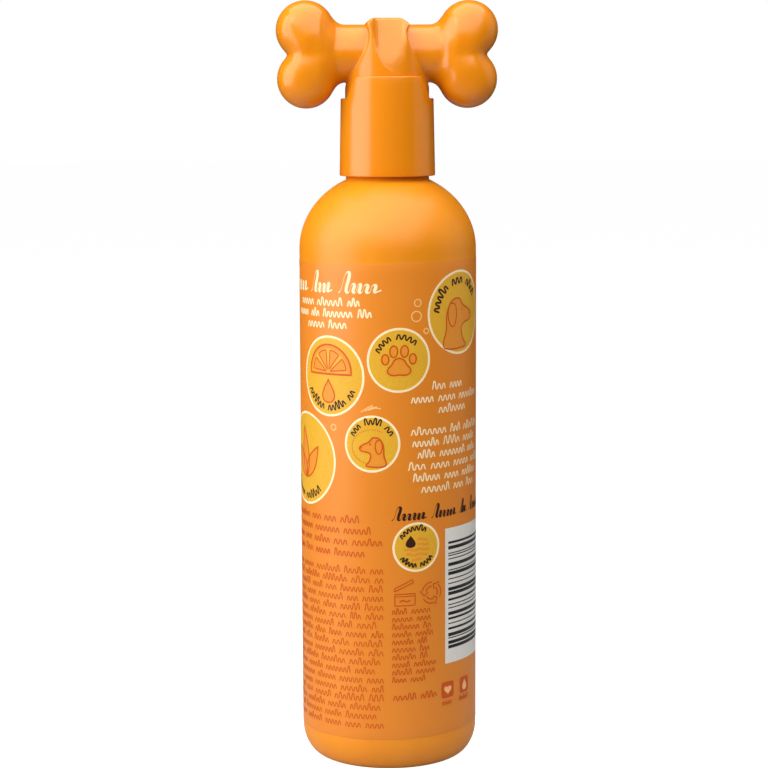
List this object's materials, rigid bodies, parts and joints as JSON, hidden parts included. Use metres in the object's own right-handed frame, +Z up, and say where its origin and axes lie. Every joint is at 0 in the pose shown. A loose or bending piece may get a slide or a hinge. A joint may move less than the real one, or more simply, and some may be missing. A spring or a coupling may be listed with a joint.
{
  "type": "shampoo bottle",
  "caption": "Slim round pet shampoo bottle with a domed shoulder, a printed wrap label, a notched collar and a press pump headed by a toy-bone-shaped crossbar with a finger dish.",
  "frame": {"origin": "centre of the bottle's standing ring, on the surface that it stands on", "axes": "+Z up along the bottle's axis; the bone lies along X; +Y is the way the outlet points, and the finger dish faces -Y"},
  "size_m": [0.0642, 0.052, 0.2227],
  "materials": {
    "bottle_plastic": "satin orange polyethylene",
    "label_film": "satin printed film",
    "cap_plastic": "semi-gloss orange polypropylene",
    "natural_plastic": "uncoloured polypropylene",
    "tube_plastic": "clear-milky polyethylene tube",
    "piston_plastic": "soft white polyethylene",
    "gasket_foam": "closed-cell white foam",
    "ball_steel": "polished stainless steel",
    "spring_steel": "drawn stainless wire"
  },
  "bodies": {
    "bottle": {"bottle": "bottle_plastic", "wrap_label": "label_film"},
    "pump": {"pump_housing": "natural_plastic", "neck_gasket": "gasket_foam", "stem_guide": "natural_plastic", "dip_tube": "tube_plastic", "ball_retainer": "natural_plastic", "return_spring": "spring_steel"},
    "closure": {"closure_ring": "natural_plastic", "collar_shroud": "cap_plastic"},
    "press_head": {"rear_bone_shell": "cap_plastic", "front_bone_shell": "cap_plastic", "press_core": "natural_plastic", "nozzle_insert": "cap_plastic", "stem": "natural_plastic", "stem_foot": "natural_plastic"},
    "piston": {"piston": "piston_plastic"},
    "inlet_ball": {"inlet_ball": "ball_steel"}
  },
  "joints": [
    {"name": "pump_lift", "type": "slide", "parent": "bottle", "child": "pump", "axis": [0, 0, 1], "range_m": [0, 0.0048]},
    {"name": "closure_turn", "type": "hinge", "parent": "pump", "child": "closure", "pos_m": [0, 0, 0.18], "axis": [0, 0, 1], "range_deg": [0, 540]},
    {"name": "head_press", "type": "slide", "parent": "closure", "child": "press_head", "axis": [0, 0, 1], "range_m": [-0.0037, 0], "stiffness_N_per_m": 1000, "springref_m": 0.008, "deforming": ["return_spring"]},
    {"name": "piston_shift", "type": "slide", "parent": "press_head", "child": "piston", "axis": [0, 0, 1], "range_m": [0, 0.0008]},
    {"name": "ball_lift", "type": "slide", "parent": "pump", "child": "inlet_ball", "axis": [0, 0, 1], "range_m": [0, 0.0009]}
  ],
  "couplings": [
    {"joint": "pump_lift", "follows": "closure_turn", "m_per_rad": 0.00050532}
  ]
}
